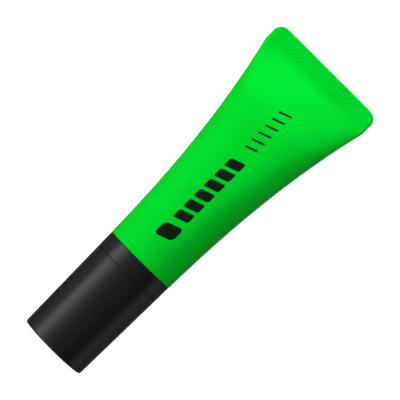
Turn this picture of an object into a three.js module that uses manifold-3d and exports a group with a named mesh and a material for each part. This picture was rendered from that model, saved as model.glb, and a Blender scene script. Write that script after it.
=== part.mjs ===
// A capped highlighter in the shape of a squeeze tube: a push-on cap with an inner seal, a front
// section that carries the chisel nib, an ink reservoir in a rigid inner barrel, and a soft tube
// shell that flares and flattens towards its welded tail.
//
// Millimetres, +Z up. The pen lies on its broad side with its axis along X, the cap's end at -X
// and the tail at +X. The origin is on the surface that it lies on, below the middle of its length.
// Turned pieces are polygons with a corner at each side (Y) and a flat above and below.

import * as THREE from "three";
import { mergeVertices } from "three/addons/utils/BufferGeometryUtils.js";
import Module from "manifold-3d";

const wasm = await Module();
wasm.setup();

// ---------------------------------------------------------------------------------------------
// Driving dimensions. A station is a distance along the axis from the cap's flat end.

const LENGTH = 110; // whole pen, cap on
const TUBE_RADIUS = 11.3; // tube shell at its round mouth
const TAIL_HALF_WIDTH = 19.24; // tube shell across its flat tail
const TAIL_HALF_THICKNESS = 0.95; // the two walls welded together
const TAIL_CORNER = 2.95; // rounded corners of the tail

const RIM = 29.7; // the cap's open rim meets the collar
const MOUTH = 34.7; // the collar meets the tube shell
const CRIMP = 103.9; // the tube's walls come together and the weld starts
const SEAM_GAP = 0.1; // between faces that only touch

const CAP_END_RADIUS = 10.6; // the cap narrows a little towards its end
const CAP_RIM_RADIUS = 11.15;
const CAP_EDGE = 0.55; // rounding round the cap's end face
const CAP_WALL = 1.4;
const CAP_END_WALL = 1.8;
const COLLAR_FRONT_RADIUS = 11.17;
const COLLAR_REAR_RADIUS = 11.22;
const LAND_RADIUS = 9.55; // what the cap slides onto
const BEAD_HEIGHT = 0.15; // snap bead round the land
const BEAD_STATION = 26.5;

const SEAL_RADIUS = 5.75; // land that the cap's inner seal closes round
const SEAL_CLEARANCE = 0.1;
const SEAL_WALL = 0.9;
const SEAL_MOUTH = 20.8; // station of the inner seal's open end

const NIB_WIDTH = 5;
const NIB_THICKNESS = 3.6;
const NIB_TIP = 7.4; // station of its leading corner
const NIB_REAR = 33;
const NIB_TIP_THICKNESS = 1.9;
const NIB_TAPER = 4.6; // length over which the nib thins to its edge
const NIB_SLANT = 2.2; // how far the edge falls back across the nib's width
const NIB_CLEARANCE = 0.08;
const NOSE_TIP = 13.5; // station of the front section's nose

const BARREL_RADIUS = 7;
const BARREL_WALL = 1.05;
const BARREL_FRONT = 31.1;
const BARREL_REAR = 70.5;
const FIT_GAP = 0.15; // between parts that are pushed together
const RESERVOIR_FRONT = 28.8;
const RESERVOIR_REAR = 67;
const FILM_THICKNESS = 0.3;

const SHELL_WALL = 1.1;
const SPIGOT_LENGTH = 7.3; // front section's plug inside the tube's mouth

// The shell's side view: straight from the mouth, then a belly that sinks with the square of the
// distance, then a straight wedge down to the weld. The bend into the wedge is this tall.
const BELLY_STATION = 60;
const BELLY_DROP = 6.4; // what the belly would have sunk by at the crimp
const WEDGE_SLOPE = 0.55;
const WEDGE_BEND = 3;
// The shell's top view: share of the widening at u from 0 (mouth) to 1 (crimp).
const flare = (u) => 0.16 * u + 0.56 * u ** 2 + 0.28 * u ** 3;
// Its cross-section: a circle at the mouth, then an oval with a flatter top, its sides thinning at the crimp.
const FLATNESS = 0.6;
const FOLDING = 0.2;
const CRIMP_FLATNESS = 0.35;
const CRIMP_FOLDING = 0.5;
const WELD_BLEND = 1.8; // length over which the section turns into the flat weld

const SEGMENTS = 42; // two more than a multiple of four, for the flats above and below
const ARC_STEPS = 2;
const SHELL_STEPS = 18;
const CAVITY_STEPS = 12;
const CORNER_STEPS = 5;

// ---------------------------------------------------------------------------------------------
// Materials

const finish = (color, roughness) => new THREE.MeshStandardMaterial({ color, roughness, metalness: 0 });
const blackPlastic = finish(0x1c1d1e, 0.32);
const greenPlastic = finish(0x00cc2e, 0.48);
const greenFelt = finish(0x3fd63a, 0.95);
const inkedFibre = finish(0x7fe07a, 0.95);
const clearFilm = finish(0xdfe8e0, 0.25);
const naturalPlastic = finish(0xe6e6df, 0.45);

// ---------------------------------------------------------------------------------------------
// Shape helpers

// A closed mesh as a manifold-3d solid, for joining and cutting.
function solidOf(geometry) {
  const plain = geometry.index ? geometry.toNonIndexed() : geometry.clone();
  plain.deleteAttribute("normal");
  plain.deleteAttribute("uv");
  const merged = mergeVertices(plain, 1e-4);
  const mesh = new wasm.Mesh({
    numProp: 3,
    vertProperties: merged.attributes.position.array,
    triVerts: new Uint32Array(merged.index.array),
  });
  return new wasm.Manifold(mesh);
}

// A manifold-3d solid as a three.js geometry.
function geometryOf(solid) {
  const mesh = solid.getMesh();
  const geometry = new THREE.BufferGeometry();
  geometry.setAttribute("position", new THREE.BufferAttribute(mesh.vertProperties, 3));
  geometry.setIndex(new THREE.BufferAttribute(mesh.triVerts, 1));
  geometry.computeVertexNormals();
  return geometry;
}

// A solid of revolution about the pen's axis. The path's x is the station and its y the radius.
function turned(path) {
  const points = path.getPoints(ARC_STEPS).map((p) => new THREE.Vector2(p.y, p.x));
  return new THREE.LatheGeometry(points, SEGMENTS, Math.PI / 2).rotateZ(-Math.PI / 2);
}

// A path through [station, radius] pairs.
function pathThrough(pairs) {
  const path = new THREE.Path();
  path.moveTo(...pairs[0]);
  pairs.slice(1).forEach((pair) => path.lineTo(...pair));
  return path;
}

// A tube between two radii.
function sleeve(front, rear, outerRadius, innerRadius) {
  return turned(
    pathThrough([
      [front, innerRadius],
      [front, outerRadius],
      [rear, outerRadius],
      [rear, innerRadius],
      [front, innerRadius],
    ]),
  );
}

// A flat outline in X (station) and Z (height), pushed out to a depth along Y about the axis.
function sidePrism(pairs, depth) {
  const shape = new THREE.Shape(pairs.map(([x, z]) => new THREE.Vector2(x, z)));
  const prism = new THREE.ExtrudeGeometry(shape, { depth, bevelEnabled: false });
  return prism.translate(0, 0, -depth / 2).rotateX(Math.PI / 2);
}

// A flat outline in X (station) and Y (width), pushed out to a depth along Z about the axis.
function topPrism(pairs, depth) {
  const shape = new THREE.Shape(pairs.map(([x, y]) => new THREE.Vector2(x, y)));
  const prism = new THREE.ExtrudeGeometry(shape, { depth, bevelEnabled: false });
  return prism.translate(0, 0, -depth / 2);
}

// A bar along the axis with a rounded rectangular section.
function bar(front, rear, width, thickness, corner) {
  const x = thickness / 2;
  const y = width / 2;
  const shape = new THREE.Shape();
  shape.moveTo(-x + corner, -y);
  shape.absarc(x - corner, -y + corner, corner, -Math.PI / 2, 0);
  shape.absarc(x - corner, y - corner, corner, 0, Math.PI / 2);
  shape.absarc(-x + corner, y - corner, corner, Math.PI / 2, Math.PI);
  shape.absarc(-x + corner, -y + corner, corner, Math.PI, (3 * Math.PI) / 2);
  const options = { depth: rear - front, bevelEnabled: false, curveSegments: 3 };
  return new THREE.ExtrudeGeometry(shape, options).rotateY(Math.PI / 2).translate(front, 0, 0);
}

// ---------------------------------------------------------------------------------------------
// The tube shell's outer form, by station

const wayAlong = (station) => THREE.MathUtils.clamp((station - MOUTH) / (CRIMP - MOUTH), 0, 1);

function halfWidth(station) {
  const cornerCentre = LENGTH - TAIL_CORNER;
  if (station > cornerCentre) {
    const back = Math.min(station - cornerCentre, TAIL_CORNER);
    return TAIL_HALF_WIDTH - TAIL_CORNER + Math.sqrt(TAIL_CORNER ** 2 - back ** 2);
  }
  return TUBE_RADIUS + (TAIL_HALF_WIDTH - TUBE_RADIUS) * flare(wayAlong(station));
}

function halfHeight(station) {
  const sinking = Math.max(station - BELLY_STATION, 0) / (CRIMP - BELLY_STATION);
  const belly = TUBE_RADIUS - BELLY_DROP * sinking ** 2;
  const wedge = TAIL_HALF_THICKNESS + WEDGE_SLOPE * Math.max(CRIMP - station, 0);
  const bend = Math.max(WEDGE_BEND - Math.abs(belly - wedge), 0) / WEDGE_BEND;
  return Math.max(Math.min(belly, wedge) - (WEDGE_BEND * bend ** 2) / 4, TAIL_HALF_THICKNESS);
}

// A number's sign times a power of its size; a number that is as good as zero gives zero.
const signedPower = (value, power) => (Math.abs(value) < 1e-9 ? 0 : Math.sign(value) * Math.abs(value) ** power);

// A section's point at an angle from straight up, as [across, up].
function sectionPoint(station, angle, inset) {
  const width = halfWidth(station) - inset;
  const height = halfHeight(station) - inset;
  const flattened = THREE.MathUtils.smoothstep(wayAlong(station), 0, 0.5);
  const closed = THREE.MathUtils.smoothstep(wayAlong(station), 0.8, 1);
  const flatness = FLATNESS * flattened + (CRIMP_FLATNESS - FLATNESS) * closed;
  const folding = FOLDING * flattened + (CRIMP_FOLDING - FOLDING) * closed;
  const across = width * signedPower(Math.sin(angle), 1 / (1 + flatness));
  const oval = height * Math.abs(Math.cos(angle)) ** (1 + folding);
  const beyondFlat = Math.max(Math.abs(across) - (width - height), 0);
  const slab = Math.sqrt(Math.max(height ** 2 - beyondFlat ** 2, 0));
  const weld = THREE.MathUtils.smoothstep(station, CRIMP - WELD_BLEND, CRIMP);
  return [across, Math.sign(Math.cos(angle)) * (oval + (slab - oval) * weld)];
}

// Flattens a tube of radius 1 to the shell's form, taken in by an inset on every side.
function squeezedTube(stations, inset) {
  const first = stations[0];
  const last = stations[stations.length - 1];
  const path = pathThrough([[first, 0], ...stations.map((station) => [station, 1]), [last, 0]]);
  const geometry = turned(path);
  const position = geometry.attributes.position;
  for (let i = 0; i < position.count; i += 1) {
    const station = position.getX(i);
    const radius = Math.hypot(position.getY(i), position.getZ(i));
    const angle = Math.atan2(position.getY(i), position.getZ(i));
    const [across, up] = sectionPoint(station, angle, inset);
    position.setY(i, radius * across);
    position.setZ(i, radius * up);
  }
  return geometry;
}

// Stations from one to another, closer together towards the last.
const closingUp = (from, to, steps) =>
  Array.from({ length: steps + 1 }, (_, i) => to - (to - from) * (1 - i / steps) ** 1.6);

// ---------------------------------------------------------------------------------------------
// Pieces

// Soft tube: round at the mouth, flared and flattened to the weld, hollow up to the weld.
function tubeShell() {
  const mouthFace = MOUTH + SEAM_GAP;
  const corner = Array.from({ length: CORNER_STEPS }, (_, i) => {
    const turn = ((i + 1) / CORNER_STEPS) * (Math.PI / 2);
    return LENGTH - TAIL_CORNER * (1 - Math.sin(turn));
  });
  const stations = [...closingUp(mouthFace, CRIMP, SHELL_STEPS), LENGTH - TAIL_CORNER, ...corner];
  const outside = squeezedTube(stations, 0);

  // The cavity ends where only a sliver of height is left between the walls.
  const sliver = 0.25;
  const cavityEnd = CRIMP - (SHELL_WALL + sliver - TAIL_HALF_THICKNESS) / WEDGE_SLOPE;
  const cavity = squeezedTube([MOUTH - 1, ...closingUp(mouthFace, cavityEnd, CAVITY_STEPS)], SHELL_WALL);
  return geometryOf(solidOf(outside).subtract(solidOf(cavity)));
}

// Outer cap: a tapered cup with a snap groove, a boss for the inner seal and webs round the boss.
function capShell() {
  const rim = RIM - SEAM_GAP;
  const innerRim = CAP_RIM_RADIUS - CAP_WALL;
  const innerEnd = CAP_END_RADIUS - CAP_WALL;
  const bossInner = SEAL_RADIUS + SEAL_CLEARANCE + SEAL_WALL + 2 * FIT_GAP;
  const bossOuter = bossInner + 0.9;
  const bossTop = CAP_END_WALL + 3.2;
  const grooveHalf = 0.9;
  const path = new THREE.Path();
  path.moveTo(0, 0);
  path.lineTo(0, CAP_END_RADIUS - CAP_EDGE);
  path.absarc(CAP_EDGE, CAP_END_RADIUS - CAP_EDGE, CAP_EDGE, Math.PI, Math.PI / 2, true);
  path.lineTo(rim - 0.15, CAP_RIM_RADIUS);
  path.lineTo(rim, CAP_RIM_RADIUS - 0.15);
  path.lineTo(rim, innerRim + 0.2);
  path.lineTo(rim - 0.4, innerRim);
  path.lineTo(BEAD_STATION + grooveHalf, innerRim);
  path.lineTo(BEAD_STATION, innerRim + 0.2);
  path.lineTo(BEAD_STATION - grooveHalf, innerRim);
  path.lineTo(CAP_END_WALL, innerEnd);
  path.lineTo(CAP_END_WALL, bossOuter);
  path.lineTo(bossTop, bossOuter);
  path.lineTo(bossTop, bossInner);
  path.lineTo(CAP_END_WALL, bossInner);
  path.lineTo(CAP_END_WALL, 0);

  let cap = solidOf(turned(path));
  const webCount = 6;
  const webLength = 3.4;
  const webDepth = innerEnd - bossOuter + 0.6;
  for (let i = 0; i < webCount; i += 1) {
    const web = new THREE.BoxGeometry(webLength, 0.8, webDepth);
    web.translate(CAP_END_WALL - 0.3 + webLength / 2, 0, (bossOuter + innerEnd) / 2);
    web.rotateX((2 * Math.PI * i) / webCount);
    cap = cap.add(solidOf(web));
  }
  return geometryOf(cap);
}

// Inner seal: a thin cup that sits in the cap's boss and closes round the front section's nose.
function capInnerSeal() {
  const front = CAP_END_WALL + SEAM_GAP;
  const floor = front + 0.9;
  const lip = SEAL_RADIUS + SEAL_CLEARANCE;
  const inner = lip + 0.15;
  const outer = lip + SEAL_WALL + FIT_GAP;
  return turned(
    pathThrough([
      [front, 0],
      [front, outer - 0.3],
      [front + 0.3, outer],
      [SEAL_MOUTH - 1.2, outer - 0.15],
      [SEAL_MOUTH, outer - 0.45],
      [SEAL_MOUTH, lip + 0.25],
      [SEAL_MOUTH - 0.6, lip],
      [SEAL_MOUTH - 1.4, lip],
      [SEAL_MOUTH - 2.2, inner],
      [floor + 0.5, inner],
      [floor, inner - 0.5],
      [floor, 0],
    ]),
  );
}

// Front section: nose, seal land, cap land with its bead, collar, and the plug in the tube's mouth.
function frontSection() {
  const noseRadius = 3.9;
  const sealFront = NOSE_TIP + 4;
  const sealRear = SEAL_MOUTH + 0.7;
  const shoulder = sealRear + 2.6;
  const landFront = shoulder + 0.6;
  const beadHalf = 0.6;
  const plugRadius = TUBE_RADIUS - SHELL_WALL - FIT_GAP;
  const plugRear = MOUTH + SPIGOT_LENGTH;
  const plugBore = plugRadius - 1.2;
  const socketRadius = BARREL_RADIUS + FIT_GAP;
  const reservoirBore = BARREL_RADIUS - BARREL_WALL + SEAM_GAP;
  const channelRear = NOSE_TIP + 9;
  const outside = [
    [NOSE_TIP, 0],
    [NOSE_TIP, noseRadius - 0.3],
    [NOSE_TIP + 0.3, noseRadius],
    [sealFront, SEAL_RADIUS - 0.15],
    [sealFront + 0.3, SEAL_RADIUS],
    [sealRear, SEAL_RADIUS],
    [shoulder, LAND_RADIUS - 0.8],
    [landFront, LAND_RADIUS],
    [BEAD_STATION - beadHalf, LAND_RADIUS],
    [BEAD_STATION, LAND_RADIUS + BEAD_HEIGHT],
    [BEAD_STATION + beadHalf, LAND_RADIUS],
    [RIM, LAND_RADIUS],
    [RIM, COLLAR_FRONT_RADIUS - 0.15],
    [RIM + 0.15, COLLAR_FRONT_RADIUS],
    [MOUTH, COLLAR_REAR_RADIUS],
    [MOUTH, plugRadius],
    [plugRear - 0.6, plugRadius],
    [plugRear, plugRadius - 0.4],
  ];
  const inside = [
    [plugRear, plugBore],
    [MOUTH + 0.8, plugBore],
    [MOUTH + 0.8, socketRadius],
    [BARREL_FRONT - SEAM_GAP, socketRadius],
    [BARREL_FRONT - SEAM_GAP, reservoirBore],
    [RESERVOIR_FRONT - SEAM_GAP, reservoirBore],
    [channelRear, noseRadius - 0.3],
    [channelRear, 0],
  ];
  const body = solidOf(turned(pathThrough([...outside, ...inside])));
  const channelWidth = NIB_WIDTH + 2 * NIB_CLEARANCE;
  const channelThickness = NIB_THICKNESS + 2 * NIB_CLEARANCE;
  const channel = bar(NOSE_TIP - 1, channelRear + 1, channelWidth, channelThickness, 0.5);
  return geometryOf(body.subtract(solidOf(channel)));
}

// Chisel nib: a felt bar, thinned to its writing edge and cut off at a slant.
function nib() {
  const half = NIB_THICKNESS / 2;
  const tipHalf = NIB_TIP_THICKNESS / 2;
  const side = NIB_WIDTH / 2;
  const over = 1;
  const slope = NIB_SLANT / NIB_WIDTH;
  const rise = (half - tipHalf) / NIB_TAPER;
  const above = [
    [NIB_TIP - over, tipHalf - over * rise],
    [NIB_TIP + NIB_TAPER + over, half + over * rise],
    [NIB_TIP - over, half + over * rise],
  ];
  const ahead = [
    [NIB_TIP - over * slope, side + over],
    [NIB_TIP - 2 * over, side + over],
    [NIB_TIP - 2 * over, -side - over],
    [NIB_TIP + NIB_SLANT + over * slope, -side - over],
  ];
  const wedge = sidePrism(above, NIB_WIDTH + 2 * over);
  const underWedge = wedge.clone().rotateX(Math.PI);
  const felt = solidOf(bar(NIB_TIP, NIB_REAR, NIB_WIDTH, NIB_THICKNESS, 0.5));
  const cut = felt.subtract(solidOf(wedge)).subtract(solidOf(underWedge));
  return geometryOf(cut.subtract(solidOf(topPrism(ahead, NIB_THICKNESS + 2 * over))));
}

// Reservoir: a fibre bundle with a pocket for the nib's rear end, wrapped in film.
const filmRadius = BARREL_RADIUS - BARREL_WALL - FIT_GAP;
const coreRadius = filmRadius - FILM_THICKNESS - 0.05;

function reservoirCore() {
  const outline = pathThrough([
    [RESERVOIR_FRONT, 0],
    [RESERVOIR_FRONT, coreRadius],
    [RESERVOIR_REAR, coreRadius],
    [RESERVOIR_REAR, 0],
  ]);
  const width = NIB_WIDTH + 2 * NIB_CLEARANCE;
  const thickness = NIB_THICKNESS + 2 * NIB_CLEARANCE;
  const pocket = bar(RESERVOIR_FRONT - 1, NIB_REAR + SEAM_GAP, width, thickness, 0.5);
  return geometryOf(solidOf(turned(outline)).subtract(solidOf(pocket)));
}

const reservoirFilm = () =>
  sleeve(RESERVOIR_FRONT + 0.2, RESERVOIR_REAR - 0.2, filmRadius, filmRadius - FILM_THICKNESS);

// Inner barrel: the rigid tube that keeps a squeeze off the reservoir.
const innerBarrel = () =>
  sleeve(BARREL_FRONT, BARREL_REAR, BARREL_RADIUS, BARREL_RADIUS - BARREL_WALL);

// Plug: a cup pushed into the inner barrel's rear end.
function barrelPlug() {
  const spigot = BARREL_RADIUS - BARREL_WALL - FIT_GAP;
  const front = RESERVOIR_REAR + 0.3;
  const flange = BARREL_REAR + SEAM_GAP;
  const rear = flange + 1.3;
  return turned(
    pathThrough([
      [rear - 1.2, 0],
      [rear - 1.2, spigot - 1],
      [front, spigot - 1],
      [front, spigot - 0.2],
      [front + 0.4, spigot],
      [flange, spigot],
      [flange, BARREL_RADIUS],
      [rear - 0.4, BARREL_RADIUS],
      [rear, BARREL_RADIUS - 0.4],
      [rear, 0],
    ]),
  );
}

// ---------------------------------------------------------------------------------------------
// Assembly

function piece(name, geometry, material) {
  const mesh = new THREE.Mesh(geometry, material);
  mesh.name = name;
  return mesh;
}

const cap = new THREE.Group();
cap.add(
  piece("cap_shell", capShell(), blackPlastic),
  piece("cap_inner_seal", capInnerSeal(), naturalPlastic),
);

const refill = new THREE.Group();
refill.add(
  piece("front_section", frontSection(), blackPlastic),
  piece("nib", nib(), greenFelt),
  piece("reservoir_core", reservoirCore(), inkedFibre),
  piece("reservoir_film", reservoirFilm(), clearFilm),
  piece("inner_barrel", innerBarrel(), naturalPlastic),
  piece("barrel_plug", barrelPlug(), naturalPlastic),
);

const highlighter = new THREE.Group();
highlighter.position.set(-LENGTH / 2, 0, TUBE_RADIUS * Math.cos(Math.PI / SEGMENTS));
highlighter.add(cap, refill, piece("tube_shell", tubeShell(), greenPlastic));

export default highlighter;
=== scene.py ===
"""The looks of a capped highlighter in the shape of a squeeze tube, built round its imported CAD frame.

Metres, +Z up. The pen lies along X with its cap at -X. Its fine pieces are loops of points joined
into closed skins; the CAD pieces that they stand for stay in the frame as they are.
"""

import math

import bmesh
import bpy
import numpy as np
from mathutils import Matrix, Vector, noise


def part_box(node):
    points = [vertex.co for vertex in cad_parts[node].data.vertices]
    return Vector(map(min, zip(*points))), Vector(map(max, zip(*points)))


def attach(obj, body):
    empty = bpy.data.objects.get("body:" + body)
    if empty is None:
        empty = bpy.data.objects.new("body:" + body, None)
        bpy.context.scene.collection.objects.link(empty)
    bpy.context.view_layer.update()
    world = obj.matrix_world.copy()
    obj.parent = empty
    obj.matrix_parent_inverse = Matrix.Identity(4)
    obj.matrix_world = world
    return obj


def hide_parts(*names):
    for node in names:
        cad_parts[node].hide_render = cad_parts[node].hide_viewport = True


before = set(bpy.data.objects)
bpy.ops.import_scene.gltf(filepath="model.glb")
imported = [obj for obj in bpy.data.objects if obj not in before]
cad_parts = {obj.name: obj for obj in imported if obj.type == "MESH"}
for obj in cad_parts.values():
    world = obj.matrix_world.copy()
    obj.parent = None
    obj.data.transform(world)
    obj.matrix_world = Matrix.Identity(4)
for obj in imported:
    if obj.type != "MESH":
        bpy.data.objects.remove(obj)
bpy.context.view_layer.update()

# ---------------------------------------------------------------------------------------------
# Sizes from the frame

MM = 0.001
cap_low, cap_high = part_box("cap_shell")
seal_low, seal_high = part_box("cap_inner_seal")
front_low, front_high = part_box("front_section")
nib_low, nib_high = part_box("nib")
tube_low, tube_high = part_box("tube_shell")
core_low, core_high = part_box("reservoir_core")
film_low, film_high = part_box("reservoir_film")
barrel_low, barrel_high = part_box("inner_barrel")
plug_low, plug_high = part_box("barrel_plug")

CAP_END = cap_low.x
CAP_RIM = cap_high.x
TAIL_END = tube_high.x
TUBE_MOUTH = tube_low.x
AXIS_HEIGHT = (cap_low.z + cap_high.z) / 2
SEAM_GAP = 0.1 * MM
COLLAR_FRONT = CAP_RIM + SEAM_GAP
COLLAR_REAR = TUBE_MOUTH - SEAM_GAP

CAP_RIM_RADIUS = cap_high.y
CAP_END_RADIUS = CAP_RIM_RADIUS - 0.55 * MM
CAP_WALL = 1.4 * MM
CAP_END_WALL = 1.8 * MM
BEAD = CAP_RIM - 3.1 * MM
COLLAR_REAR_RADIUS = front_high.y
COLLAR_FRONT_RADIUS = COLLAR_REAR_RADIUS - 0.05 * MM
LAND_RADIUS = CAP_RIM_RADIUS - CAP_WALL - 0.2 * MM
SEAL_RADIUS = seal_high.y - 1.15 * MM
NOSE_RADIUS = 3.9 * MM

TUBE_RADIUS = COLLAR_REAR_RADIUS + 0.08 * MM
TUBE_WALL = 1.1 * MM
TAIL_HALF_WIDTH = tube_high.y
TAIL_HALF_THICKNESS = 0.95 * MM
TAIL_CORNER = 2.95 * MM
CRIMP = TAIL_END - 6.1 * MM
BELLY_START = CRIMP - 43.9 * MM
BELLY_DROP = 6.4 * MM
WEDGE_SLOPE = 0.55
WEDGE_BEND = 3 * MM
WELD_BLEND = 1.8 * MM
FOLD_RADIUS = TAIL_HALF_THICKNESS - 0.05 * MM
FLATNESS = 0.6
FOLDING = 0.2
CRIMP_FLATNESS = 0.35
CRIMP_FOLDING = 0.5
CRIMP_SOFTNESS = 1.2 * MM

NIB_HALF_WIDTH = nib_high.y
NIB_HALF_THICKNESS = (nib_high.z - nib_low.z) / 2
NIB_TIP_HALF_THICKNESS = 0.95 * MM
NIB_TAPER = 4.6 * MM
NIB_SLANT = 2.2 * MM
NIB_CORNER = 0.5 * MM
CHANNEL_GAP = 0.08 * MM

# ---------------------------------------------------------------------------------------------
# Loops and skins

SMALLEST_EDGE = 0.0005 * MM  # points closer together than this become one


def mesh_object(name, points, faces, smooth_angle=40):
    """A mesh object from points and faces, facing outward, smooth but for edges past the angle."""
    mesh = bpy.data.meshes.new(name)
    mesh.from_pydata([tuple(p) for p in points], [], faces)
    mesh.validate()
    work = bmesh.new()
    work.from_mesh(mesh)
    bmesh.ops.dissolve_degenerate(work, dist=SMALLEST_EDGE, edges=work.edges)
    bmesh.ops.recalc_face_normals(work, faces=work.faces)
    work.to_mesh(mesh)
    work.free()
    mesh.shade_smooth()
    mesh.set_sharp_from_angle(angle=math.radians(smooth_angle))
    thing = bpy.data.objects.new(name, mesh)
    bpy.context.scene.collection.objects.link(thing)
    return thing


def skin(name, loops, start, end="", smooth_angle=40):
    """A closed mesh through loops of equally many points, each loop running the same way round.

    start and end say how the first and last loop close: "strip" zips a flat loop's two sides
    together, "point" fans it to its middle, and start "joined" runs the last loop on into the first.
    """
    count = len(loops[0])
    points = [p for loop in loops for p in loop]
    faces = []
    rows = len(loops) if start == "joined" else len(loops) - 1
    for row in range(rows):
        here = row * count
        there = ((row + 1) % len(loops)) * count
        for i in range(count):
            j = (i + 1) % count
            faces.append((here + i, here + j, there + j, there + i))
    ends = [] if start == "joined" else [(0, start, True), (len(loops) - 1, end, False)]
    for row, way, flip in ends:
        base = row * count
        if way == "point":
            points.append(np.mean(np.array(loops[row]), axis=0))
            closing = [(base + i, base + (i + 1) % count, len(points) - 1) for i in range(count)]
        else:
            closing = zipped(base, count)
        faces += [tuple(reversed(face)) for face in closing] if flip else closing
    return mesh_object(name, points, faces, smooth_angle)


def zipped(base, count):
    """Faces across a flat loop whose point i lies opposite its point count - i."""
    faces = []
    for i in range(count // 2):
        a, b = base + i, base + i + 1
        c, d = base + (count - i - 1) % count, base + (count - i) % count
        corners = [a, b, c, d]
        faces.append(tuple(dict.fromkeys(corners)))
    return faces


def round_loop(x, radius, sides):
    """A circle about the pen's axis, starting at its +Y side."""
    turn = np.linspace(0, 2 * math.pi, sides, endpoint=False)
    loop = np.empty((sides, 3))
    loop[:, 0] = x
    loop[:, 1] = radius * np.cos(turn)
    loop[:, 2] = AXIS_HEIGHT + radius * np.sin(turn)
    return loop


def oblong_loop(x, half_width, half_height, corner, sides):
    """A rounded rectangle about the pen's axis, its points in the same directions as a circle's."""
    turn = np.linspace(0, 2 * math.pi, sides, endpoint=False)
    across, up = np.abs(np.cos(turn)), np.abs(np.sin(turn))
    reach = np.minimum(half_width / np.maximum(across, 1e-9), half_height / np.maximum(up, 1e-9))
    centre_y, centre_z = half_width - corner, half_height - corner
    in_corner = (reach * across > centre_y) & (reach * up > centre_z)
    along = across * centre_y + up * centre_z
    beside = centre_y**2 + centre_z**2 - corner**2
    to_arc = along + np.sqrt(np.maximum(along**2 - beside, 0))
    reach = np.where(in_corner, to_arc, reach)
    loop = np.empty((sides, 3))
    loop[:, 0] = x
    loop[:, 1] = reach * np.cos(turn)
    loop[:, 2] = AXIS_HEIGHT + reach * np.sin(turn)
    return loop


def rounded(corners, closed=False, steps=5):
    """An outline through (x, radius, rounding) corners, each turned into an arc of that rounding.

    A point on either side of each arc keeps the shading of the straight stretches flat.
    """
    outline = []
    count = len(corners)
    for i, (x, r, rounding) in enumerate(corners):
        here = np.array([x, r])
        at_end = not closed and i in (0, count - 1)
        if at_end or rounding == 0:
            outline.append(here)
            continue
        before = np.array(corners[i - 1][:2]) - here
        after = np.array(corners[(i + 1) % count][:2]) - here
        room = 0.45 * min(np.linalg.norm(before), np.linalg.norm(after))
        before /= np.linalg.norm(before)
        after /= np.linalg.norm(after)
        half = math.acos(max(-1, min(1, float(before @ after)))) / 2
        tangent = min(rounding / math.tan(half), room)
        radius = tangent * math.tan(half)
        middle = before + after
        centre = here + middle / np.linalg.norm(middle) * radius / math.sin(half)
        start, finish = here + before * tangent - centre, here + after * tangent - centre
        sweep = math.pi - 2 * half
        guard = min(tangent, room - tangent)
        if guard > 0:
            outline.append(here + before * (tangent + guard))
        for k in range(steps + 1):
            t = k / steps
            weight_a = math.sin((1 - t) * sweep) / math.sin(sweep)
            weight_b = math.sin(t * sweep) / math.sin(sweep)
            outline.append(centre + weight_a * start + weight_b * finish)
        if guard > 0:
            outline.append(here + after * (tangent + guard))
    return outline


def turned(name, corners, sides=160, closed=False):
    """A turned piece from (x, radius, rounding) corners. An open outline starts and ends on the axis."""
    outline = rounded(corners, closed)
    if closed:
        return skin(name, [round_loop(x, r, sides) for x, r in outline], "joined")
    loops = [round_loop(x, r, sides) for x, r in outline[1:-1]]
    return skin(name, loops, "point", "point")


# ---------------------------------------------------------------------------------------------
# Materials


class Look:
    """A node material: a Principled shader fed by procedural textures in the pen's own coordinates."""

    def __init__(self, name):
        self.material = bpy.data.materials.new(name)
        self.material.use_nodes = True
        self.tree = self.material.node_tree
        self.shader = self.tree.nodes["Principled BSDF"]
        self.place = self.node("ShaderNodeTexCoord").outputs["Object"]

    def node(self, kind, **settings):
        made = self.tree.nodes.new(kind)
        for key, value in settings.items():
            setattr(made, key, value)
        return made

    def link(self, source, target):
        self.tree.links.new(source, target)

    def stretched(self, scale):
        """The pen's coordinates, scaled differently along each axis."""
        mapping = self.node("ShaderNodeMapping")
        mapping.inputs["Scale"].default_value = scale
        self.link(self.place, mapping.inputs["Vector"])
        return mapping.outputs["Vector"]

    def noise(self, scale, detail=3, roughness=0.5, vector=None):
        texture = self.node("ShaderNodeTexNoise")
        texture.inputs["Scale"].default_value = scale
        texture.inputs["Detail"].default_value = detail
        texture.inputs["Roughness"].default_value = roughness
        self.link(vector or self.place, texture.inputs["Vector"])
        return texture.outputs["Fac"]

    def spread(self, source, low, high, start=0.3, stop=0.7):
        """A texture's middle range spread over low to high."""
        fit = self.node("ShaderNodeMapRange")
        for socket, value in (("From Min", start), ("From Max", stop), ("To Min", low), ("To Max", high)):
            fit.inputs[socket].default_value = value
        self.link(source, fit.inputs["Value"])
        return fit.outputs["Result"]

    def colour_between(self, source, low, high, start=0.3, stop=0.7):
        ramp = self.node("ShaderNodeValToRGB")
        ramp.color_ramp.elements[0].position = start
        ramp.color_ramp.elements[0].color = (*low, 1)
        ramp.color_ramp.elements[1].position = stop
        ramp.color_ramp.elements[1].color = (*high, 1)
        self.link(source, ramp.inputs["Fac"])
        self.link(ramp.outputs["Color"], self.shader.inputs["Base Color"])

    def roughness_between(self, source, low, high):
        self.link(self.spread(source, low, high), self.shader.inputs["Roughness"])

    def bumps(self, *layers):
        """Height textures, each with its height in metres, one bump on top of another."""
        normal = None
        for source, height in layers:
            bump = self.node("ShaderNodeBump")
            bump.inputs["Distance"].default_value = height
            self.link(source, bump.inputs["Height"])
            if normal:
                self.link(normal, bump.inputs["Normal"])
            normal = bump.outputs["Normal"]
        self.link(normal, self.shader.inputs["Normal"])

    def set(self, **values):
        for socket, value in values.items():
            self.shader.inputs[socket.replace("_", " ")].default_value = value


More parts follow.
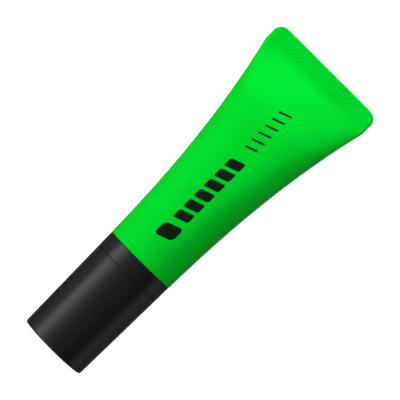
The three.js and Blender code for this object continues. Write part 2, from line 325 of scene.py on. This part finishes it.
def black_plastic():
    """Moulded black plastic with a fine satin grain."""
    look = Look("black_plastic")
    look.colour_between(look.noise(60), (0.0034, 0.0042, 0.0044), (0.0046, 0.0054, 0.0056))
    look.roughness_between(look.noise(900, detail=4), 0.29, 0.36)
    grain = look.noise(5200, detail=2)
    flow = look.noise(70, detail=1)
    look.bumps((flow, 0.12 * MM), (grain, 0.004 * MM))
    look.set(IOR=1.5)
    return look.material


def green_plastic():
    """Soft fluorescent tube plastic: a waxy surface, faintly uneven as a soft wall is."""
    look = Look("green_plastic")
    look.colour_between(look.noise(45, detail=2), (0.0, 0.66, 0.019), (0.0, 0.74, 0.027))
    look.roughness_between(look.noise(500, detail=3), 0.3, 0.37)
    soft = look.noise(38, detail=1)
    grain = look.noise(4200, detail=2)
    look.bumps((soft, 0.1 * MM), (grain, 0.003 * MM))
    look.set(IOR=1.46, Specular_IOR_Level=0.06, Specular_Tint=(0.0, 1.0, 1.0, 1.0))
    return look.material


def natural_plastic():
    """Unpigmented polypropylene: milky, a little see-through."""
    look = Look("natural_plastic")
    look.colour_between(look.noise(120), (0.76, 0.76, 0.7), (0.83, 0.83, 0.78))
    look.roughness_between(look.noise(700), 0.34, 0.46)
    look.bumps((look.noise(3800, detail=2), 0.004 * MM))
    look.set(IOR=1.49, Subsurface_Weight=0.25, Subsurface_Scale=0.8 * MM)
    return look.material


def clear_film():
    """Thin clear wrapping film with fine lengthwise creases."""
    look = Look("clear_film")
    creases = look.noise(900, detail=2, vector=look.stretched((0.06, 1, 1)))
    look.colour_between(creases, (0.72, 0.8, 0.73), (0.84, 0.9, 0.85))
    look.roughness_between(creases, 0.12, 0.25)
    look.bumps((creases, 0.03 * MM))
    return look.material


def felt(name, dark, pale):
    """Bonded fibres that run along the pen, soaked with ink."""
    look = Look(name)
    fibres = look.noise(6500, detail=3, roughness=0.65, vector=look.stretched((0.09, 1, 1)))
    clumps = look.noise(1300, detail=3)
    look.colour_between(clumps, dark, pale)
    look.roughness_between(fibres, 0.82, 0.98)
    look.bumps((clumps, 0.05 * MM), (fibres, 0.035 * MM))
    look.set(Sheen_Weight=0.25, Sheen_Roughness=0.6)
    return look.material


def dark_ink():
    """Pad-printed ink, nearly black, with the slight mottle of a thin coat."""
    look = Look("dark_ink")
    look.colour_between(look.noise(1500, detail=3), (0.0, 0.0075, 0.0), (0.001, 0.013, 0.001))
    look.roughness_between(look.noise(2600), 0.42, 0.55)
    look.bumps((look.noise(3500), 0.002 * MM))
    look.set(Specular_IOR_Level=0.2)
    return look.material


LOOKS = {
    "black_plastic": black_plastic(),
    "green_plastic": green_plastic(),
    "natural_plastic": natural_plastic(),
    "clear_film": clear_film(),
    "green_felt": felt("green_felt", (0.03, 0.56, 0.03), (0.1, 0.74, 0.07)),
    "inked_fibre": felt("inked_fibre", (0.16, 0.66, 0.15), (0.32, 0.82, 0.28)),
    "dark_ink": dark_ink(),
}


def finished(piece, body, slot, *nodes):
    """Gives a piece its material and its body, and hides the CAD nodes that it stands for."""
    piece.data.materials.append(LOOKS[slot])
    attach(piece, body)
    if nodes:
        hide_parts(*nodes)
    return piece


# ---------------------------------------------------------------------------------------------
# Cap


def cap_shell():
    """A tapered cup with a boss for the inner seal, and webs between the boss and the wall."""
    edge = 0.5 * MM
    inner_rim = CAP_RIM_RADIUS - CAP_WALL
    inner_end = CAP_END_RADIUS - CAP_WALL
    boss_inner = seal_high.y + 0.15 * MM
    boss_outer = boss_inner + 0.9 * MM
    floor = CAP_END + CAP_END_WALL
    boss_top = floor + 3.2 * MM
    groove = 0.9 * MM
    gate = 1.3 * MM
    corners = [
        (CAP_END + 0.12 * MM, 0, 0),
        (CAP_END + 0.12 * MM, gate - 0.2 * MM, 0.05 * MM),
        (CAP_END, gate, 0.05 * MM),
        (CAP_END, CAP_END_RADIUS, edge),
        (CAP_RIM, CAP_RIM_RADIUS, 0.12 * MM),
        (CAP_RIM, inner_rim + 0.1 * MM, 0.15 * MM),
        (BEAD + groove, inner_rim, 0.1 * MM),
        (BEAD, inner_rim + 0.2 * MM, 0.15 * MM),
        (BEAD - groove, inner_rim, 0.1 * MM),
        (floor, inner_end, 0.5 * MM),
        (floor, boss_outer, 0.25 * MM),
        (boss_top, boss_outer, 0.15 * MM),
        (boss_top, boss_inner, 0.15 * MM),
        (floor, boss_inner, 0.1 * MM),
        (floor, 0, 0),
    ]
    shell = finished(turned("cap_shell_fine", corners, 192), "cap", "black_plastic", "cap_shell")
    for i in range(6):
        web = cap_web(f"cap_web_{i + 1}", i * math.pi / 3, floor, boss_outer, inner_end)
        finished(web, "cap", "black_plastic")
    return shell


def cap_web(name, turn, floor, inner, outer):
    """A thin web on the cap's floor between the boss and the wall, its free edge rounded."""
    height, half, bury = 3.1 * MM, 0.4 * MM, 0.1 * MM
    loops = []
    for radius in np.linspace(inner - bury, outer + bury, 6):
        arch = [math.radians(a) for a in range(0, 181, 20)]
        section = [(floor - bury, -half), (floor + height - half, -half)]
        section += [(floor + height - half + half * math.sin(a), -half * math.cos(a)) for a in arch[1:-1]]
        section += [(floor + height - half, half), (floor - bury, half)]
        loop = []
        for x, side in section:
            y = radius * math.sin(turn) + side * math.cos(turn)
            z = radius * math.cos(turn) - side * math.sin(turn)
            loop.append((x, y, AXIS_HEIGHT + z))
        loops.append(np.array(loop))
    return skin(name, loops, "point", "point")


def cap_inner_seal():
    """The cup that closes round the nose and keeps the nib wet."""
    lip = SEAL_RADIUS + 0.1 * MM
    inner = lip + 0.15 * MM
    outer = seal_high.y
    front, mouth = seal_low.x, seal_high.x
    corners = [
        (front, 0, 0),
        (front, outer, 0.3 * MM),
        (mouth - 1.2 * MM, outer - 0.15 * MM, 0.3 * MM),
        (mouth, outer - 0.45 * MM, 0.2 * MM),
        (mouth, lip + 0.25 * MM, 0.1 * MM),
        (mouth - 0.6 * MM, lip, 0.2 * MM),
        (mouth - 1.4 * MM, lip, 0.2 * MM),
        (mouth - 2.2 * MM, inner, 0.2 * MM),
        (front + 0.9 * MM, inner, 0.5 * MM),
        (front + 0.9 * MM, 0, 0),
    ]
    piece = turned("cap_inner_seal_fine", corners, 160)
    return finished(piece, "cap", "natural_plastic", "cap_inner_seal")


# ---------------------------------------------------------------------------------------------
# Front section and nib


def front_section():
    """Nose with the nib's channel, seal land, cap land with its bead, collar, and the tube's plug."""
    sides = 192
    nose = front_low.x
    seal_front = nose + 4 * MM
    seal_rear = seal_high.x + 0.7 * MM
    shoulder = seal_rear + 2.6 * MM
    plug_radius = TUBE_RADIUS - TUBE_WALL - 0.15 * MM
    plug_rear = front_high.x
    socket = barrel_high.y + 0.15 * MM
    socket_front = barrel_low.x - SEAM_GAP
    bore = film_high.y + 0.25 * MM
    bore_front = core_low.x - SEAM_GAP
    channel_rear = nose + 9 * MM
    corners = [
        (nose, NOSE_RADIUS, 0.35 * MM),
        (seal_front, SEAL_RADIUS, 0.4 * MM),
        (seal_rear, SEAL_RADIUS, 0.3 * MM),
        (shoulder, LAND_RADIUS - 0.8 * MM, 0.3 * MM),
        (shoulder + 0.6 * MM, LAND_RADIUS, 0.3 * MM),
        (BEAD - 0.6 * MM, LAND_RADIUS, 0.2 * MM),
        (BEAD, LAND_RADIUS + 0.15 * MM, 0.2 * MM),
        (BEAD + 0.6 * MM, LAND_RADIUS, 0.2 * MM),
        (COLLAR_FRONT, LAND_RADIUS, 0.1 * MM),
        (COLLAR_FRONT, COLLAR_FRONT_RADIUS, 0.12 * MM),
        (COLLAR_REAR, COLLAR_REAR_RADIUS, 0.08 * MM),
        (COLLAR_REAR, plug_radius, 0.05 * MM),
        (plug_rear, plug_radius, 0.4 * MM),
        (plug_rear, plug_radius - 1.2 * MM, 0.2 * MM),
        (COLLAR_REAR + 0.8 * MM, plug_radius - 1.2 * MM, 0.2 * MM),
        (COLLAR_REAR + 0.8 * MM, socket, 0.2 * MM),
        (socket_front, socket, 0.1 * MM),
        (socket_front, bore, 0.1 * MM),
        (bore_front, bore, 0.1 * MM),
        (channel_rear, NOSE_RADIUS - 0.3 * MM, 0.1 * MM),
    ]
    face = (nose, NOSE_RADIUS - 0.5 * MM, 0)
    outline = rounded([face, *corners, (channel_rear, NOSE_RADIUS - 0.5 * MM, 0)])
    loops = [round_loop(x, r, sides) for x, r in outline]
    width, height = NIB_HALF_WIDTH + CHANNEL_GAP, NIB_HALF_THICKNESS + CHANNEL_GAP
    for x, flare in (
        (channel_rear, 0.1),
        (channel_rear - 0.15 * MM, 0),
        (nose + 0.3 * MM, 0),
        (nose + 0.08 * MM, 0.05),
        (nose, 0.18),
    ):
        loops.append(oblong_loop(x, width + flare * MM, height + flare * MM, NIB_CORNER, sides))
    piece = skin("front_section_fine", loops, "joined")
    return finished(piece, "pen", "black_plastic", "front_section")


def nib():
    """A felt bar with softly rounded edges, thinned and cut off at a slant."""
    sides = 96
    tip, rear = nib_low.x, nib_high.x
    side_slope = NIB_SLANT / (2 * NIB_HALF_WIDTH)
    loops = []
    stages = [(0.0, 0.32), (0.04, 0.14), (0.14, 0.04), (0.3, 0.0)]
    stages += [(0.3 + 0.35 * k, 0.0) for k in range(1, 20)]
    for depth, inset in stages:
        loop = oblong_loop(0, NIB_HALF_WIDTH - inset * MM, NIB_HALF_THICKNESS, NIB_CORNER, sides)
        slant_left = max(0.0, 1 - depth * MM / (NIB_TAPER + NIB_SLANT))
        for point in loop:
            cut = tip + (NIB_HALF_WIDTH - point[1]) * side_slope * slant_left
            point[0] = cut + depth * MM
            share = min(max((point[0] - tip) / NIB_TAPER, 0), 1)
            thickness = NIB_TIP_HALF_THICKNESS + (NIB_HALF_THICKNESS - NIB_TIP_HALF_THICKNESS) * share
            scale = (thickness - inset * MM) / NIB_HALF_THICKNESS
            point[2] = AXIS_HEIGHT + (point[2] - AXIS_HEIGHT) * scale
            fuzz = 0.025 * MM * noise.noise(Vector((point[0] * 400, point[1] * 2600, point[2] * 2600)))
            point[2] += fuzz * np.sign(point[2] - AXIS_HEIGHT)
        loops.append(loop)
    for x in (rear - 2 * MM, rear - 0.3 * MM, rear):
        inset = 0.25 * MM if x == rear else 0
        loops.append(
            oblong_loop(x, NIB_HALF_WIDTH - inset, NIB_HALF_THICKNESS - inset, NIB_CORNER, sides)
        )
    piece = skin("nib_fine", loops, "point", "point")
    return finished(piece, "pen", "green_felt", "nib")


# ---------------------------------------------------------------------------------------------
# Reservoir and inner barrel, sealed inside the pen


def reservoir_core():
    """A bundle of fibres, ridged along its length, with a pocket for the nib's rear end."""
    sides = 240
    radius = core_high.y
    front, rear = core_low.x, core_high.x
    pocket_end = nib_high.x + SEAM_GAP
    width, height = NIB_HALF_WIDTH + CHANNEL_GAP, NIB_HALF_THICKNESS + CHANNEL_GAP
    loops = [oblong_loop(x, width, height, NIB_CORNER, sides) for x in (pocket_end, front)]
    ridge = np.array([noise.noise(Vector((i * 0.9, 3.1, 0))) for i in range(sides)])
    rim = 0.3 * MM
    outline = rounded([(front, radius / 2, 0), (front, radius, rim), (rear, radius, rim), (rear, 0, 0)])
    for x, r in outline[1:-1]:
        loop = round_loop(x, 1, sides)
        uneven = r - 0.06 * MM * (0.5 + ridge)
        loop[:, 1] = loop[:, 1] * uneven
        loop[:, 2] = AXIS_HEIGHT + (loop[:, 2] - AXIS_HEIGHT) * uneven
        loops.append(loop)
    piece = skin("reservoir_core_fine", loops, "point", "point")
    return finished(piece, "pen", "inked_fibre", "reservoir_core")


def sleeve(name, low, high, wall, rounding, slot, node):
    """A plain tube between two faces."""
    outer, inner = high.y, high.y - wall
    corners = [(low.x, inner), (low.x, outer), (high.x, outer), (high.x, inner)]
    piece = turned(name, [(x, r, rounding) for x, r in corners], 128, closed=True)
    return finished(piece, "pen", slot, node)


def barrel_plug():
    """A flanged cup pushed into the inner barrel's rear end."""
    front, rear = plug_low.x, plug_high.x
    spigot = barrel_high.y - 1.2 * MM
    flange = barrel_high.x + SEAM_GAP
    corners = [
        (rear - 1.2 * MM, 0, 0),
        (rear - 1.2 * MM, spigot - 1 * MM, 0.3 * MM),
        (front, spigot - 1 * MM, 0.2 * MM),
        (front, spigot, 0.4 * MM),
        (flange, spigot, 0.05 * MM),
        (flange, plug_high.y, 0.1 * MM),
        (rear, plug_high.y, 0.4 * MM),
        (rear, 0, 0),
    ]
    piece = turned("barrel_plug_fine", corners, 128)
    return finished(piece, "pen", "natural_plastic", "barrel_plug")


# ---------------------------------------------------------------------------------------------
# Tube shell

QUARTER = 104  # points in a quarter of a loop
BAND_STEP = 0.17 * MM  # loops this far apart over the crimp, for its hatching
HATCH_PITCH = 1.15 * MM
HATCH_DEPTH = 0.05 * MM


def smoothstep(value, low, high):
    t = min(max((value - low) / (high - low), 0), 1)
    return t * t * (3 - 2 * t)


def way_along(x):
    return min(max((x - TUBE_MOUTH) / (CRIMP - TUBE_MOUTH), 0), 1)


def half_width(x):
    corner_centre = TAIL_END - TAIL_CORNER
    if x > corner_centre:
        back = min(x - corner_centre, TAIL_CORNER)
        return TAIL_HALF_WIDTH - TAIL_CORNER + math.sqrt(TAIL_CORNER**2 - back**2)
    u = way_along(x)
    flare = 0.16 * u + 0.56 * u**2 + 0.28 * u**3
    return TUBE_RADIUS + (TAIL_HALF_WIDTH - TUBE_RADIUS) * flare


def half_height(x):
    sinking = max(x - BELLY_START, 0) / (CRIMP - BELLY_START)
    belly = TUBE_RADIUS - BELLY_DROP * sinking**2
    ahead = min(max(CRIMP - x, -CRIMP_SOFTNESS), CRIMP_SOFTNESS) + CRIMP_SOFTNESS
    beyond = max(CRIMP - x - CRIMP_SOFTNESS, 0)
    wedge = TAIL_HALF_THICKNESS + WEDGE_SLOPE * (ahead**2 / (4 * CRIMP_SOFTNESS) + beyond)
    bend = max(WEDGE_BEND - abs(belly - wedge), 0) / WEDGE_BEND
    return max(min(belly, wedge) - WEDGE_BEND * bend**2 / 4, TAIL_HALF_THICKNESS)


def quarter_section(x, inset):
    """A quarter of the shell's section at x, from its side (+Y) up to its top, evenly spaced.

    It goes from a circle to a flatter oval with narrow sides, moved out by the fold's radius, so
    that its sides are round folds. At the crimp it turns into a flat slab.
    """
    wide, high = half_width(x), half_height(x)
    core_wide, core_high = wide - FOLD_RADIUS, high - FOLD_RADIUS
    turn = np.linspace(0, 1, 400) ** 1.5 * math.pi / 2
    flattened = smoothstep(way_along(x), 0, 0.5)
    closed = smoothstep(way_along(x), 0.8, 1)
    flatness = FLATNESS * flattened + (CRIMP_FLATNESS - FLATNESS) * closed
    folding = FOLDING * flattened + (CRIMP_FOLDING - FOLDING) * closed
    y = core_wide * np.sin(turn) ** (1 / (1 + flatness))
    lens = core_high * np.maximum(np.cos(turn), 0) ** (1 + folding)
    weld = smoothstep(x, CRIMP - 0.3 * MM, CRIMP - 0.3 * MM + WELD_BLEND)
    z = lens + (core_high - lens) * weld
    slope = np.gradient(z, y + 1e-12 * np.arange(len(y)))
    slope[0] = 0
    lean = np.arctan(-np.minimum(slope, 0))
    lean = np.maximum.accumulate(np.minimum(lean, math.pi / 2))
    fold_turn = np.linspace(lean[-1], math.pi / 2, 24)
    out = FOLD_RADIUS - inset
    y = np.concatenate([y + out * np.sin(lean), y[-1] + out * np.sin(fold_turn)])
    z = np.concatenate([z + out * np.cos(lean), z[-1] + out * np.cos(fold_turn)])
    z = np.maximum(z, 0)
    y, z = y[::-1], z[::-1]
    run = np.concatenate([[0], np.cumsum(np.hypot(np.diff(y), np.diff(z)))])
    even = np.linspace(0, run[-1], QUARTER + 1)
    return np.interp(even, run, y), np.interp(even, run, z)


def shell_loop(x, inset=0.0):
    """A whole loop of the shell at x, starting at its +Y side and running over the top."""
    y, z = quarter_section(x, inset)
    z[0] = 0
    loop = np.empty((4 * QUARTER, 3))
    loop[:, 0] = x
    loop[:, 1] = np.concatenate([y[:-1], -y[:0:-1], -y[:-1], y[:0:-1]])
    loop[:, 2] = AXIS_HEIGHT + np.concatenate([z[:-1], z[:0:-1], -z[:-1], -z[:0:-1]])
    return loop


def hatch(loop):
    """Presses fine slanted grooves into both faces of the crimp, fading out towards its edges."""
    x, y = loop[:, 0], loop[:, 1]
    inner = np.clip((x - CRIMP - 0.9 * MM) / (0.5 * MM), 0, 1)
    outer = np.clip((TAIL_END - 1 * MM - x) / (0.7 * MM), 0, 1)
    side = np.clip((TAIL_HALF_WIDTH - 2.5 * MM - np.abs(y)) / (4 * MM), 0, 1)
    wave = 0.5 - 0.5 * np.cos(2 * math.pi * (x + y) / math.sqrt(2) / HATCH_PITCH)
    worn = np.array([noise.noise(Vector((px * 300, py * 300, 5))) for px, py in zip(x, y, strict=True)])
    depth = HATCH_DEPTH * wave**2 * inner * outer * side * (0.75 + 0.6 * worn)
    loop[:, 2] -= np.sign(loop[:, 2] - AXIS_HEIGHT) * depth


def tube_shell():
    """The soft tube: round at its mouth, flared and flattened to the crimp, hollow up to there."""
    cavity_end = CRIMP - (TUBE_WALL + 0.25 * MM - TAIL_HALF_THICKNESS) / WEDGE_SLOPE
    inside = np.linspace(cavity_end, TUBE_MOUTH + 0.4 * MM, 56)
    loops = [shell_loop(x, TUBE_WALL) for x in inside]
    mouth = [(0.12, 1.08), (0, 0.98), (0, 0.16), (0.05, 0.05), (0.16, 0)]
    loops += [shell_loop(TUBE_MOUTH + step * MM, inset * MM) for step, inset in mouth]
    body_start, band_start = TUBE_MOUTH + 0.45 * MM, CRIMP - 2.4 * MM
    body = np.linspace(body_start, band_start, 86)
    band = np.arange(band_start + BAND_STEP, TAIL_END - 0.3 * MM, BAND_STEP)
    loops += [shell_loop(x) for x in np.concatenate([body, band])]
    edge = 0.26 * MM
    for turn in np.radians([0, 22, 45, 68, 90]):
        x = TAIL_END - edge * (1 - math.sin(turn))
        loops.append(shell_loop(x, edge * (1 - math.cos(turn))))
    for loop in loops:
        hatch(loop)
    piece = skin("tube_shell_fine", loops, "strip", "strip", smooth_angle=50)
    return finished(piece, "pen", "green_plastic", "tube_shell")


# ---------------------------------------------------------------------------------------------
# Printed decoration: plain slanted bars along the top of the tube

PRINT_LIFT = 0.02 * MM
PRINT_SLANT = 0.35
BARS_IN_A_ROW = 6


def top_height(x, y):
    """Height of the shell's top surface over a point."""
    across, up = quarter_section(x, 0)
    return AXIS_HEIGHT + np.interp(abs(y), across[::-1], up[::-1])


def bar_patch(x_middle, length, height, corner):
    """A thin slanted bar laid on the shell: its points, row by row across the bar, and its faces."""
    rows, columns = 15, 7
    points = []
    for lift in (PRINT_LIFT, -0.05 * MM):
        for y in np.linspace(-height / 2, height / 2, rows):
            into_corner = max(abs(y) - (height / 2 - corner), 0)
            trim = corner - math.sqrt(max(corner**2 - into_corner**2, 0))
            shift = PRINT_SLANT * y
            for x in np.linspace(-length / 2 + trim, length / 2 - trim, columns):
                place = x_middle + x - shift
                points.append((place, y, top_height(place, y) + lift))
    layer = rows * columns
    faces = []
    for r in range(rows - 1):
        for c in range(columns - 1):
            a = r * columns + c
            top = (a, a + 1, a + columns + 1, a + columns)
            faces.append(top)
            faces.append(tuple(layer + i for i in reversed(top)))
    rim = list(range(columns)) + [r * columns + columns - 1 for r in range(1, rows)]
    rim += [layer - 1 - c for c in range(1, columns)] + [r * columns for r in range(rows - 2, 0, -1)]
    for a, b in zip(rim, rim[1:] + rim[:1], strict=True):
        faces.append((a, layer + a, layer + b, b))
    return points, faces


def printed_bars():
    """One block, a row of bold bars and a row of thin bars, evenly spaced."""
    bars = [(CAP_END + 46.3 * MM, 4.6 * MM, 5.4 * MM, 1.2 * MM)]
    for i in range(BARS_IN_A_ROW):
        bold, thin = 52.2 + 4 * i, 78.6 + 2.7 * i
        bars.append((CAP_END + bold * MM, 2.9 * MM, 4.4 * MM, 0.45 * MM))
        bars.append((CAP_END + thin * MM, 0.62 * MM, 3.9 * MM, 0.28 * MM))
    points, faces = [], []
    for bar in bars:
        more_points, more_faces = bar_patch(*bar)
        faces += [tuple(i + len(points) for i in face) for face in more_faces]
        points += more_points
    piece = mesh_object("print_bars", points, faces)
    return finished(piece, "pen", "dark_ink")


# ---------------------------------------------------------------------------------------------
# Backdrop, lights and camera


def backdrop():
    """A pale table that curves up into a wall all round. It lights nothing and takes no shadow."""
    sides = 96
    sweep = [(0.5, 0), (2.4, 0), (2.8, 0.06), (3.1, 0.25), (3.25, 0.6), (3.3, 3)]
    points = [(0, 0, -0.05 * MM)]
    for radius, height in sweep:
        for turn in np.linspace(0, 2 * math.pi, sides, endpoint=False):
            points.append((radius * math.cos(turn), radius * math.sin(turn), height - 0.05 * MM))
    faces = [(0, 1 + i, 1 + (i + 1) % sides) for i in range(sides)]
    for ring in range(len(sweep) - 1):
        here, there = 1 + ring * sides, 1 + (ring + 1) * sides
        for i in range(sides):
            j = (i + 1) % sides
            faces.append((here + i, there + i, there + j, here + j))
    sheet = mesh_object("backdrop", points, faces)
    look = Look("backdrop")
    look.colour_between(look.noise(3, detail=1), (0.8, 0.8, 0.8), (0.82, 0.82, 0.82))
    look.roughness_between(look.noise(40), 0.85, 0.95)
    look.set(Emission_Color=(1, 1, 1, 1), Emission_Strength=0.85, Specular_IOR_Level=0.0)
    sheet.data.materials.append(look.material)
    sheet.visible_diffuse = False
    sheet.visible_glossy = False
    sheet.visible_transmission = False
    sheet.visible_shadow = False


def softbox(name, direction, distance, size, power, in_reflections):
    """A rectangular studio light aimed at the pen's middle."""
    data = bpy.data.lights.new(name, "AREA")
    data.shape = "RECTANGLE"
    data.size, data.size_y = size
    data.energy = power
    lamp = bpy.data.objects.new(name, data)
    away = Vector(direction).normalized()
    lamp.location = Vector((0, 0, AXIS_HEIGHT)) + away * distance
    lamp.rotation_euler = away.to_track_quat("Z", "Y").to_euler()
    lamp.visible_camera = False
    lamp.visible_glossy = in_reflections
    bpy.context.scene.collection.objects.link(lamp)


# How bright the room looks from the pen.
GROUND = 0.1
HORIZON = 0.4
WALL = 0.05
FAR_CEILING = 0.1
ZENITH = 0.2
WINDOW = 1.8
WINDOW_SPILL = 0.8


def room(world):
    """A dim room with a pale horizon all round and a bright high window on the pen's +Y side."""
    world.use_nodes = True
    tree = world.node_tree
    parts = tree.nodes.new("ShaderNodeSeparateXYZ")
    tree.links.new(tree.nodes.new("ShaderNodeTexCoord").outputs["Generated"], parts.inputs["Vector"])
    upward = tree.nodes.new("ShaderNodeMapRange")
    upward.inputs["From Min"].default_value = -1
    tree.links.new(parts.outputs["Z"], upward.inputs["Value"])
    sideways = tree.nodes.new("ShaderNodeMapRange")
    sideways.inputs["From Min"].default_value = -0.3
    sideways.inputs["From Max"].default_value = 0.3
    tree.links.new(parts.outputs["Y"], sideways.inputs["Value"])

    def levels(*steps):
        """Brightness by how far up a direction points, from -1 (straight down) to 1."""
        ramp = tree.nodes.new("ShaderNodeValToRGB")
        stops = ramp.color_ramp.elements
        for height, level in steps:
            stops.new((height + 1) / 2).color = (level, level, level, 1)
        stops.remove(stops[0])
        stops.remove(stops[-1])
        tree.links.new(upward.outputs["Result"], ramp.inputs["Fac"])
        return ramp.outputs["Color"]

    low = ((-0.5, GROUND), (-0.15, HORIZON))
    far_side = levels(*low, (0.05, HORIZON), (0.35, WALL), (0.7, FAR_CEILING), (0.99, ZENITH))
    window_side = levels(*low, (0.05, WALL), (0.35, WINDOW), (0.7, WINDOW_SPILL), (0.99, ZENITH))
    sides = tree.nodes.new("ShaderNodeMix")
    sides.data_type = "RGBA"
    tree.links.new(sideways.outputs["Result"], sides.inputs["Factor"])
    background = tree.nodes["Background"]
    for socket, side in (("A", far_side), ("B", window_side)):
        colour = next(s for s in sides.inputs if s.name == socket and s.type == "RGBA")
        tree.links.new(side, colour)
    result = next(s for s in sides.outputs if s.type == "RGBA")
    tree.links.new(result, background.inputs["Color"])
    background.inputs["Strength"].default_value = 1


def studio():
    """The room and four softboxes, of which only the key shows in reflections."""
    world = bpy.data.worlds.new("studio")
    room(world)
    bpy.context.scene.world = world
    softbox("key_strip", (0.2, 0.85, 0.5), 0.6, (0.8, 0.3), 0.6, True)
    softbox("fill", (0.35, 0.6, 0.7), 0.6, (0.4, 0.4), 0.6, False)
    softbox("tail_low", (0.95, 0.1, 0.2), 0.45, (0.35, 0.35), 0.6, False)
    softbox("tail_high", (0.8, -0.25, 0.6), 0.45, (0.35, 0.35), 0.6, False)
    bpy.context.scene.view_settings.view_transform = "Standard"


def camera():
    """Looks straight down on the pen's broad side, turned so that its axis rises to the right."""
    data = bpy.data.cameras.new("camera")
    data.lens = 226
    data.clip_end = 20
    eye = bpy.data.objects.new("camera", data)
    eye.location = (CAP_END + 58.5 * MM, 0, AXIS_HEIGHT + 706 * MM)
    eye.rotation_euler = (0, 0, math.radians(-45))
    bpy.context.scene.collection.objects.link(eye)
    bpy.context.scene.camera = eye


camera()
backdrop()
studio()
cap_shell()
cap_inner_seal()
front_section()
nib()
reservoir_core()
sleeve("reservoir_film_fine", film_low, film_high, 0.3 * MM, 0.05 * MM, "clear_film", "reservoir_film")
sleeve("inner_barrel_fine", barrel_low, barrel_high, 1.05 * MM, 0.2 * MM, "natural_plastic", "inner_barrel")
barrel_plug()
tube_shell()
printed_bars()
